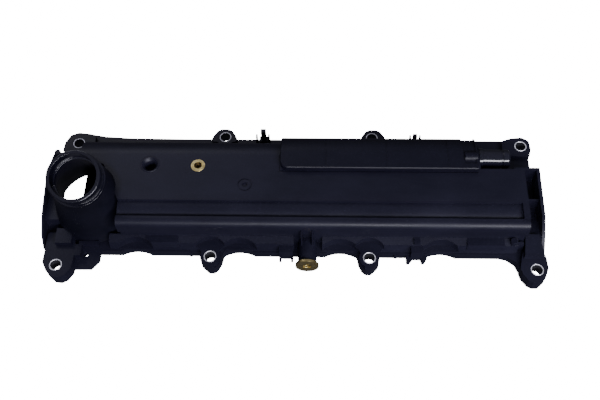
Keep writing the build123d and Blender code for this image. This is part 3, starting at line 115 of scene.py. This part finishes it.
def from_axis(tree, axis):
    """Distance from an upright line through axis, in object space."""
    coord = tree.nodes.new("ShaderNodeTexCoord")
    level = tree.nodes.new("ShaderNodeVectorMath")
    level.operation = "MULTIPLY"
    level.inputs[1].default_value = (1.0, 1.0, 0.0)
    gap = tree.nodes.new("ShaderNodeVectorMath")
    gap.operation = "DISTANCE"
    gap.inputs[1].default_value = (*axis, 0.0)
    tree.links.new(coord.outputs["Object"], level.inputs[0])
    tree.links.new(level.outputs["Vector"], gap.inputs[0])
    return gap.outputs["Value"]


def mix(tree, fac, a, b):
    """Colour a where fac is 0, colour b where it is 1."""
    node = tree.nodes.new("ShaderNodeMix")
    node.data_type = "RGBA"
    tree.links.new(fac, node.inputs["Factor"])
    tree.links.new(a, node.inputs["A"])
    tree.links.new(b, node.inputs["B"])
    return node.outputs["Result"]


def bump(tree, bsdf, height, distance, strength):
    """Fine relief, distance in metres."""
    node = tree.nodes.new("ShaderNodeBump")
    node.inputs["Distance"].default_value = distance
    node.inputs["Strength"].default_value = strength
    tree.links.new(height, node.inputs["Height"])
    tree.links.new(node.outputs["Normal"], bsdf.inputs["Normal"])


CLOUD_SCALE = 34.0
CLOUD_STRETCH = (0.45, 1.0, 1.0)
CLOUD_LOW = 0.30
CLOUD_HIGH = 0.72
SPECK_SCALE = 1500.0
SPECK_AMOUNT = 0.55
SPECULAR_PLASTIC = 0.20


def moulded(
    name,
    dark,
    light,
    rough_low,
    rough_high,
    grain,
    grain_depth,
    specular=SPECULAR_PLASTIC,
    painted_shade=None,
):
    """Glass-filled nylon: fine grain, cloudy flow marks and pale specks.

    The last argument is an upright axis and two radii for painted shade: the plastic is painted
    darker inside the first radius, fading to its own tone outside the second."""
    mat, tree, bsdf = shader(name)
    cloud = noise(tree, CLOUD_SCALE, 5.0, 0.6, CLOUD_STRETCH)
    speck = noise(tree, SPECK_SCALE, 2.0, 0.5)
    base = ramp(tree, cloud, CLOUD_LOW, CLOUD_HIGH, dark, light)
    fleck = ramp(tree, speck, 0.60, 0.74, BLACK, PLASTIC_SCUFF)
    add = tree.nodes.new("ShaderNodeMix")
    add.data_type = "RGBA"
    add.blend_type = "ADD"
    add.inputs["Factor"].default_value = SPECK_AMOUNT
    tree.links.new(base, add.inputs["A"])
    tree.links.new(fleck, add.inputs["B"])
    colour = add.outputs["Result"]
    # painted shade: the plastic is painted darker close to the upright axis
    if painted_shade:
        axis, near, far = painted_shade
        shade_mask = span(tree, from_axis(tree, axis), near, far, 1.0, 0.0)
        shade_colour = ramp(tree, cloud, CLOUD_LOW, CLOUD_HIGH, SPIGOT, PLASTIC)
        colour = mix(tree, shade_mask, colour, shade_colour)
    tree.links.new(colour, bsdf.inputs["Base Color"])
    tree.links.new(span(tree, cloud, 0.3, 0.75, rough_low, rough_high), bsdf.inputs["Roughness"])
    bsdf.inputs["Specular IOR Level"].default_value = specular
    bump(tree, bsdf, noise(tree, grain, 3.0, 0.6), grain_depth, 0.55)
    return mat


PATCH_LOW = 0.32
PATCH_HIGH = 0.62
TOOL_MARK_FINENESS = 9.0
TOOL_MARK_DEPTH = 0.00006
TOOL_MARK_STRENGTH = 0.6


def tarnished(tree, patch, dull, bright):
    """Metal colour that changes from dull to bright over its tarnish patches."""
    return ramp(tree, patch, PATCH_LOW, PATCH_HIGH, dull, bright)


def turned(tree, bsdf, patch, rough_low, rough_high, fineness):
    """Roughness that follows the patches, and fine tool marks."""
    tree.links.new(span(tree, patch, 0.3, 0.7, rough_high, rough_low), bsdf.inputs["Roughness"])
    bump(tree, bsdf, noise(tree, fineness, 3.0, 0.6), TOOL_MARK_DEPTH, TOOL_MARK_STRENGTH)


def metal(name, dull, bright, rough_low, rough_high, scale):
    """Turned metal: tarnish patches and fine tool marks."""
    mat, tree, bsdf = shader(name)
    bsdf.inputs["Metallic"].default_value = 1.0
    patch = noise(tree, scale, 5.0, 0.6)
    tree.links.new(tarnished(tree, patch, dull, bright), bsdf.inputs["Base Color"])
    turned(tree, bsdf, patch, rough_low, rough_high, scale * TOOL_MARK_FINENESS)
    return mat


# painted shade round the filler drum: its upright axis, and the radii where the painted shade
# ends
DRUM_AXIS = (-0.1697, -0.0085)
DRUM_PAINTED_SHADE = (DRUM_AXIS, 0.0275, 0.0305)
housing = moulded(
    "housing_nylon",
    PLASTIC,
    PLASTIC_LIGHT,
    0.36,
    0.50,
    2600.0,
    0.00007,
    SPECULAR_PLASTIC,
    DRUM_PAINTED_SHADE,
)
lid_mat = moulded("lid_nylon", LID_DARK, PLASTIC, 0.38, 0.50, 2600.0, 0.00006, 0.17)
gloss = moulded("spigot_nylon", SPIGOT, PLASTIC_LIGHT, 0.12, 0.20, 900.0, 0.00003, 0.55)
satin = moulded("neck_nylon", SPIGOT, PLASTIC, 0.16, 0.26, 1500.0, 0.00004, 0.60)
inner_mat = moulded("inner_nylon", PLASTIC, PLASTIC_LIGHT, 0.42, 0.60, 2000.0, 0.00006)
brass = metal("insert_brass", BRASS_DULL, BRASS, 0.26, 0.46, 320.0)
# brass darkened as painted shade, for the thread in the roof insert's bore
brass_shade = metal("insert_brass_painted_shade", BRASS_SHADE_DULL, BRASS_SHADE, 0.34, 0.52, 900.0)


BORE_BLEND = 0.0003


def bored_brass(name, bore_r):
    """Brass with a bright face; everything inside the bore radius is painted dark, a painted
    shade for the hole.
    """
    mat, tree, bsdf = shader(name)
    bsdf.inputs["Metallic"].default_value = 1.0
    low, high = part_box("insert_top")
    axis = ((low[0] + high[0]) / 2.0, (low[1] + high[1]) / 2.0)
    patch = noise(tree, 320.0, 5.0, 0.6)
    bright = tarnished(tree, patch, BRASS_DULL, BRASS)
    # painted shade: dark colour inside the bore radius
    shade_tone = tarnished(tree, patch, BORE_SHADE_DARK, BORE_SHADE_LIGHT)
    face = span(tree, from_axis(tree, axis), bore_r, bore_r + BORE_BLEND, 0.0, 1.0)
    tree.links.new(mix(tree, face, shade_tone, bright), bsdf.inputs["Base Color"])
    turned(tree, bsdf, patch, 0.28, 0.46, 2900.0)
    return mat


def sleeve_metal(name):
    """Bright turned steel where a face points up; the bore, the outside and the undersides are
    painted dark as painted shade.
    """
    mat, tree, bsdf = shader(name)
    bsdf.inputs["Metallic"].default_value = 0.55
    coord = tree.nodes.new("ShaderNodeTexCoord")
    facing = tree.nodes.new("ShaderNodeSeparateXYZ")
    tree.links.new(coord.outputs["Normal"], facing.inputs["Vector"])
    patch = noise(tree, 420.0, 5.0, 0.6)
    bright = tarnished(tree, patch, STEEL_DULL, STEEL)
    # painted shade: faces that don't point up get this dark tone, faces that point up keep the
    # bright steel
    shade_tone = tarnished(tree, patch, SLEEVE_SHADE_DARK, SLEEVE_SHADE_LIGHT)
    ends = span(tree, facing.outputs["Z"], 0.35, 0.75, 0.0, 1.0)
    tree.links.new(mix(tree, ends, shade_tone, bright), bsdf.inputs["Base Color"])
    turned(tree, bsdf, patch, 0.30, 0.46, 3800.0)
    return mat


limiter = sleeve_metal("limiter_steel")
top_brass = bored_brass("roof_insert_brass", 0.0030)
screw = metal("screw_steel", STEEL_DULL, STEEL, 0.25, 0.45, 380.0)
ball = metal("ball_steel", STEEL_DULL, STEEL, 0.08, 0.18, 200.0)


ROUGH_SPREAD = 0.08


def soft(name, dark, light, rough, scale, depth):
    """Fibre or rubber: dull, with a coarse grain."""
    mat, tree, bsdf = shader(name)
    grain = noise(tree, scale, 6.0, 0.65)
    tree.links.new(ramp(tree, grain, 0.3, 0.7, dark, light), bsdf.inputs["Base Color"])
    spread = span(tree, grain, 0.3, 0.7, rough - ROUGH_SPREAD, rough + ROUGH_SPREAD)
    tree.links.new(spread, bsdf.inputs["Roughness"])
    bump(tree, bsdf, grain, depth, 0.8)
    return mat


fleece = soft("fleece", FLEECE_DARK, FLEECE, 0.85, 900.0, 0.0006)
rubber = soft("gasket_rubber", RUBBER, RUBBER_LIGHT, 0.55, 700.0, 0.00008)

look = {
    "cover_body": housing,
    "filler_neck": satin,
    "separator_cover": lid_mat,
    "breather_spigot": gloss,
    "baffle_plate": inner_mat,
    "baffle_screws": screw,
    "drain_cage": inner_mat,
    "drain_ball": ball,
    "nozzle_plate": inner_mat,
    "fleece_pad": fleece,
    "gasket": rubber,
    "insert_top": top_brass,
    "insert_pillar": brass,
}
for name, obj in nodes.items():
    mat = limiter if name.startswith("limiter_") else look[name]
    obj.data.materials.clear()
    obj.data.materials.append(mat)


# ---------------------------------------------------------------- edges of the CAD nodes
WELD_DISTANCE = 0.000002
EDGE_ANGLE = math.radians(34.0)
EDGE_SEGMENTS = 2
EDGE_SMALLEST = 0.00012


def soften(obj, width):
    """Welds the faceted surface, rounds its sharp edges a little and smooths the rest."""
    weld = obj.modifiers.new("weld", "WELD")
    weld.merge_threshold = WELD_DISTANCE
    edge = obj.modifiers.new("edge", "BEVEL")
    edge.limit_method = "ANGLE"
    edge.angle_limit = EDGE_ANGLE
    edge.width = width
    edge.segments = EDGE_SEGMENTS
    edge.harden_normals = True
    edge.use_clamp_overlap = True
    fair = obj.modifiers.new("fair", "WEIGHTED_NORMAL")
    fair.keep_sharp = True


EDGE_WIDTH = {
    "cover_body": 0.00038,
    "filler_neck": 0.00035,
    "separator_cover": 0.00035,
    "breather_spigot": 0.00030,
    "baffle_plate": 0.00025,
    "drain_cage": 0.00015,
}
for name, obj in nodes.items():
    obj.data.shade_smooth()
    soften(obj, EDGE_WIDTH.get(name, EDGE_SMALLEST))


# ---------------------------------------------------------------- pieces built from the frame
SAME_POINT = 1e-7


def piece(name, verts, faces, mat, smooth=True):
    """A mesh piece that rides on the cover."""
    mesh = bpy.data.meshes.new(name)
    mesh.from_pydata(verts, [], faces)
    mesh.update()
    made = bmesh.new()
    made.from_mesh(mesh)
    bmesh.ops.remove_doubles(made, verts=made.verts, dist=SAME_POINT)
    bmesh.ops.recalc_face_normals(made, faces=made.faces)
    made.to_mesh(mesh)
    made.free()
    if smooth:
        mesh.shade_smooth()
    mesh.materials.append(mat)
    obj = bpy.data.objects.new(name, mesh)
    bpy.context.scene.collection.objects.link(obj)
    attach(obj, "cover")
    return obj


TINY = 1e-6


def tube(points, radius, sides, closed):
    """Vertices and faces of a round bead along a line of points."""
    verts = []
    faces = []
    count = len(points)
    for i, point in enumerate(points):
        before = Vector(points[i - 1] if closed or i > 0 else points[i])
        after = Vector(points[(i + 1) % count] if closed or i < count - 1 else points[i])
        along = (after - before).normalized()
        side = along.cross(Vector((0.0, 0.0, 1.0)))
        if side.length < TINY:
            side = along.cross(Vector((1.0, 0.0, 0.0)))
        side.normalize()
        rise = side.cross(along).normalized()
        for k in range(sides):
            turn = 2.0 * math.pi * k / sides
            offset = math.cos(turn) * radius * side + math.sin(turn) * radius * rise
            verts.append(tuple(Vector(point) + offset))
    for i in range(count if closed else count - 1):
        j = (i + 1) % count
        for k in range(sides):
            m = (k + 1) % sides
            faces.append((i * sides + k, i * sides + m, j * sides + m, j * sides + k))
    if not closed:
        faces.append(tuple(range(sides)))
        faces.append(tuple(reversed(range((count - 1) * sides, count * sides))))
    return verts, faces


def helix(centre, axis, side, radius, pitch, turns, steps):
    """Points of a thread turn around an axis, starting at the centre."""
    axis = Vector(axis).normalized()
    side = Vector(side).normalized()
    other = axis.cross(side)
    points = []
    for i in range(int(turns * steps) + 1):
        turn = 2.0 * math.pi * i / steps
        offset = radius * (math.cos(turn) * side + math.sin(turn) * other)
        points.append(tuple(Vector(centre) + offset + (pitch * i / steps) * axis))
    return points


def centre_of(name):
    """The middle of a CAD node's box, and the box's low and high corners."""
    low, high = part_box(name)
    return [(low[i] + high[i]) / 2.0 for i in range(3)], low, high


def around(x, y, radius, turn, z):
    """A point at a radius and an angle from the upright line through x, y."""
    return (x + radius * math.cos(turn), y + radius * math.sin(turn), z)


# thread turns inside both inserts
THREAD_START = 0.0006
THREAD_SIDES = 6
TOP_PITCH = 0.0010
TOP_THREAD_R = 0.0025
TOP_ENDS_CLEAR = 0.0012
TOP_STEPS = 28
TOP_BEAD = 0.00028
(top_x, top_y, _), top_low, top_high = centre_of("insert_top")
top_turns = (top_high[2] - top_low[2] - TOP_ENDS_CLEAR) / TOP_PITCH
top_start = (top_x, top_y, top_low[2] + THREAD_START)
top_line = helix(top_start, (0, 0, 1), (1, 0, 0), TOP_THREAD_R, TOP_PITCH, top_turns, TOP_STEPS)
# the roof insert's thread is painted dark as shade in its bore
piece("insert_top_thread", *tube(top_line, TOP_BEAD, THREAD_SIDES, False), brass_shade)

STUD_PITCH = 0.00125
STUD_THREAD_R = 0.0034
STUD_ENDS_CLEAR = 0.0036
STUD_STEPS = 30
STUD_BEAD = TOP_BEAD * 1.2
(stud_x, _, stud_z), stud_low, stud_high = centre_of("insert_pillar")
stud_turns = (stud_high[1] - stud_low[1] - STUD_ENDS_CLEAR) / STUD_PITCH
stud_start = (stud_x, stud_low[1] + THREAD_START, stud_z)
stud_line = helix(
    stud_start, (0, 1, 0), (1, 0, 0), STUD_THREAD_R, STUD_PITCH, stud_turns, STUD_STEPS
)
piece("insert_pillar_thread", *tube(stud_line, STUD_BEAD, THREAD_SIDES, False), brass)

# serrated crown on the roof insert
CROWN_TEETH = 16
CROWN_IN = 0.0031
CROWN_OUT = 0.0053
CROWN_TOP = top_high[2] + 0.00030
CROWN_SINK = 0.0005
CROWN_TOOTH_START = 0.18
CROWN_TOOTH_END = 0.82
CROWN_TAPER = 0.00012
CROWN_TAPER_TURN = 40
crown_verts = []
crown_faces = []
for i in range(CROWN_TEETH):
    start = 2.0 * math.pi * (i + CROWN_TOOTH_START) / CROWN_TEETH
    end = 2.0 * math.pi * (i + CROWN_TOOTH_END) / CROWN_TEETH
    base = len(crown_verts)
    for z in (CROWN_TOP - CROWN_SINK, CROWN_TOP):
        taper = 0.0 if z < CROWN_TOP else CROWN_TAPER
        lean = taper * CROWN_TAPER_TURN
        for radius, angle in (
            (CROWN_IN + taper, start + lean),
            (CROWN_OUT - taper, start + lean),
            (CROWN_OUT - taper, end - lean),
            (CROWN_IN + taper, end - lean),
        ):
            crown_verts.append(around(top_x, top_y, radius, angle, z))
    crown_faces.append((base, base + 1, base + 2, base + 3))
    crown_faces.append((base + 4, base + 7, base + 6, base + 5))
    for k in range(4):
        m = (k + 1) % 4
        crown_faces.append((base + k, base + 4 + k, base + 4 + m, base + m))
piece("insert_top_crown", crown_verts, crown_faces, brass, smooth=False)

# raised ring round the open socket in the roof: its section as radius and height
SOCKET_X = -0.1195
SOCKET_Y = 0.0158
ROOF_Z = 0.046
SOCKET_PROFILE = (
    (0.0064, -0.00025),
    (0.0064, 0.00030),
    (0.0067, 0.00055),
    (0.0073, 0.00055),
    (0.0077, 0.00025),
    (0.0078, -0.00025),
)
SOCKET_SIDES = 72
ring_verts = []
ring_faces = []
for k in range(SOCKET_SIDES):
    turn = 2.0 * math.pi * k / SOCKET_SIDES
    for radius, rise in SOCKET_PROFILE:
        ring_verts.append(around(SOCKET_X, SOCKET_Y, radius, turn, ROOF_Z + rise))
for k in range(SOCKET_SIDES):
    here = k * len(SOCKET_PROFILE)
    there = ((k + 1) % SOCKET_SIDES) * len(SOCKET_PROFILE)
    for i in range(len(SOCKET_PROFILE)):
        j = (i + 1) % len(SOCKET_PROFILE)
        ring_faces.append((here + i, here + j, there + j, there + i))
piece("roof_socket_ring", ring_verts, ring_faces, housing, smooth=False)

# flash squeezed out of the weld between the neck's collar and the drum
NECK_TILT = math.radians(17.0)
NECK_AXIS = Vector((0.0, -math.sin(NECK_TILT), math.cos(NECK_TILT)))
NECK_RIM = Vector((-0.1697, -0.0152, 0.0772))
NECK_LENGTH = 0.014
FLASH_R = 0.0213
FLASH_BEAD = 0.00045
FLASH_STEPS = 96
FLASH_SIDES = 8
FLASH_WAVES = ((0.00012, 7.0), (0.00008, 17.0))
flash_centre = NECK_RIM - (NECK_LENGTH + FLASH_BEAD) * NECK_AXIS
flash_side = Vector((1.0, 0.0, 0.0))
flash_other = NECK_AXIS.cross(flash_side)
flash_line = []
for i in range(FLASH_STEPS):
    turn = 2.0 * math.pi * i / FLASH_STEPS
    outward = math.cos(turn) * flash_side + math.sin(turn) * flash_other
    swell = FLASH_R
    for height, waves in FLASH_WAVES:
        swell += height * math.sin(waves * turn)
    flash_line.append(tuple(flash_centre + swell * outward))
piece("neck_weld_flash", *tube(flash_line, FLASH_BEAD, FLASH_SIDES, True), housing)

# ejector marks under the baffle: shallow raised discs with a soft rim
MARK_SIDES = 28
MARK_PROFILE = (
    (0.0000, -0.00022),
    (0.0021, -0.00022),
    (0.0024, -0.00030),
    (0.0027, -0.00022),
    (0.0028, 0.0001),
)
MARK_COLUMNS = 9
MARK_FIRST = 0.058
MARK_SPACING = 0.030
MARK_ROWS = (-0.0205, 0.0100, 0.0220)
VENT_COLUMN = 4
DRAIN_COLUMN = 8
BAFFLE_THICKNESS = 0.0020
_, baffle_low, baffle_high = centre_of("baffle_plate")
baffle_under = baffle_high[2] - BAFFLE_THICKNESS
mark_verts = []
mark_faces = []
for column in range(MARK_COLUMNS):
    for row_y in MARK_ROWS:
        if row_y > 0.0 and column in (VENT_COLUMN, DRAIN_COLUMN):
            continue
        mark_x = baffle_low[0] + MARK_FIRST + MARK_SPACING * column
        base = len(mark_verts)
        mark_verts.append((mark_x, row_y, baffle_under + MARK_PROFILE[0][1]))
        for radius, drop in MARK_PROFILE[1:]:
            for k in range(MARK_SIDES):
                turn = 2.0 * math.pi * k / MARK_SIDES
                mark_verts.append(around(mark_x, row_y, radius, turn, baffle_under + drop))
        for k in range(MARK_SIDES):
            m = (k + 1) % MARK_SIDES
            mark_faces.append((base, base + 1 + m, base + 1 + k))
            for ring in range(len(MARK_PROFILE) - 2):
                inner = base + 1 + ring * MARK_SIDES
                outer = inner + MARK_SIDES
                mark_faces.append((inner + k, inner + m, outer + m, outer + k))
piece("baffle_ejector_marks", mark_verts, mark_faces, inner_mat)

# ---------------------------------------------------------------- floor, light, camera
FLOOR_Z = -0.0002
FLOOR_SIZE = 6.0
FLOOR_GLOW = 16.0
bpy.ops.mesh.primitive_plane_add(size=FLOOR_SIZE, location=(0.0, 0.0, FLOOR_Z))
floor = bpy.context.object
floor.name = "floor"
mat, tree, bsdf = shader("floor_white")
bsdf.inputs["Base Color"].default_value = (1.0, 1.0, 1.0, 1.0)
bsdf.inputs["Roughness"].default_value = 0.9
bsdf.inputs["Emission Color"].default_value = (1.0, 1.0, 1.0, 1.0)
bsdf.inputs["Emission Strength"].default_value = FLOOR_GLOW
floor.data.materials.append(mat)
floor.visible_diffuse = False
floor.visible_glossy = False

# a sky that is darker at the horizon
SKY_STRENGTH = 0.32
world = bpy.data.worlds.new("studio")
bpy.context.scene.world = world
world.use_nodes = True
tree = world.node_tree
coord = tree.nodes.new("ShaderNodeTexCoord")
split = tree.nodes.new("ShaderNodeSeparateXYZ")
tree.links.new(coord.outputs["Generated"], split.inputs["Vector"])
sky = tree.nodes.new("ShaderNodeValToRGB")
sky.color_ramp.elements[0].position = 0.02
sky.color_ramp.elements[0].color = (0.20, 0.20, 0.25, 1.0)
sky.color_ramp.elements[1].position = 0.75
sky.color_ramp.elements[1].color = (0.82, 0.82, 1.0, 1.0)
tree.links.new(split.outputs["Z"], sky.inputs["Fac"])
tree.links.new(sky.outputs["Color"], tree.nodes["Background"].inputs["Color"])
tree.nodes["Background"].inputs["Strength"].default_value = SKY_STRENGTH


LAMP_COLOUR = (0.90, 0.90, 1.0)


def area(name, place, aim, size_x, size_y, power):
    """A soft rectangular light at place, turned towards aim, in watts."""
    lamp = bpy.data.lights.new(name, "AREA")
    lamp.color = LAMP_COLOUR
    lamp.shape = "RECTANGLE"
    lamp.size = size_x
    lamp.size_y = size_y
    lamp.energy = power
    obj = bpy.data.objects.new(name, lamp)
    bpy.context.scene.collection.objects.link(obj)
    obj.location = place
    obj.rotation_mode = "QUATERNION"
    obj.rotation_quaternion = (Vector(aim) - Vector(place)).to_track_quat("-Z", "Y")
    return obj


area("key", (-0.55, 0.80, 0.85), (-0.05, 0.0, 0.02), 0.9, 0.25, 3.0)
area("front", (0.40, -0.85, 0.66), (0.05, 0.0, 0.02), 1.2, 0.25, 26.0)

# camera fitted to the bolt pattern: it looks at a target from these angles and this distance
CAM_TARGET = Vector((0.0085, 0.00994, 0.0))
CAM_DISTANCE = 0.6885
CAM_ELEVATION = math.radians(59.85)
CAM_AZIMUTH = math.radians(2.85)
CAM_ROLL = math.radians(-1.97)
CAM_SENSOR = 36.0
CAM_LENS = 48.0
CAM_SHIFT_X = -0.0118
CAM_SHIFT_Y = 0.0004
forward = Vector(
    (
        -math.sin(CAM_AZIMUTH) * math.cos(CAM_ELEVATION),
        math.cos(CAM_AZIMUTH) * math.cos(CAM_ELEVATION),
        -math.sin(CAM_ELEVATION),
    )
)
right = Vector((math.cos(CAM_AZIMUTH), math.sin(CAM_AZIMUTH), 0.0))
up = right.cross(forward)
right_rolled = math.cos(CAM_ROLL) * right + math.sin(CAM_ROLL) * up
up_rolled = math.cos(CAM_ROLL) * up - math.sin(CAM_ROLL) * right
cam_data = bpy.data.cameras.new("camera")
cam_data.sensor_width = CAM_SENSOR
cam_data.lens = CAM_LENS
cam_data.shift_x = CAM_SHIFT_X
cam_data.shift_y = CAM_SHIFT_Y
camera = bpy.data.objects.new("camera", cam_data)
bpy.context.scene.collection.objects.link(camera)
turn = Matrix((right_rolled, up_rolled, -forward)).transposed()
camera.matrix_world = Matrix.Translation(CAM_TARGET - CAM_DISTANCE * forward) @ turn.to_4x4()
bpy.context.scene.camera = camera
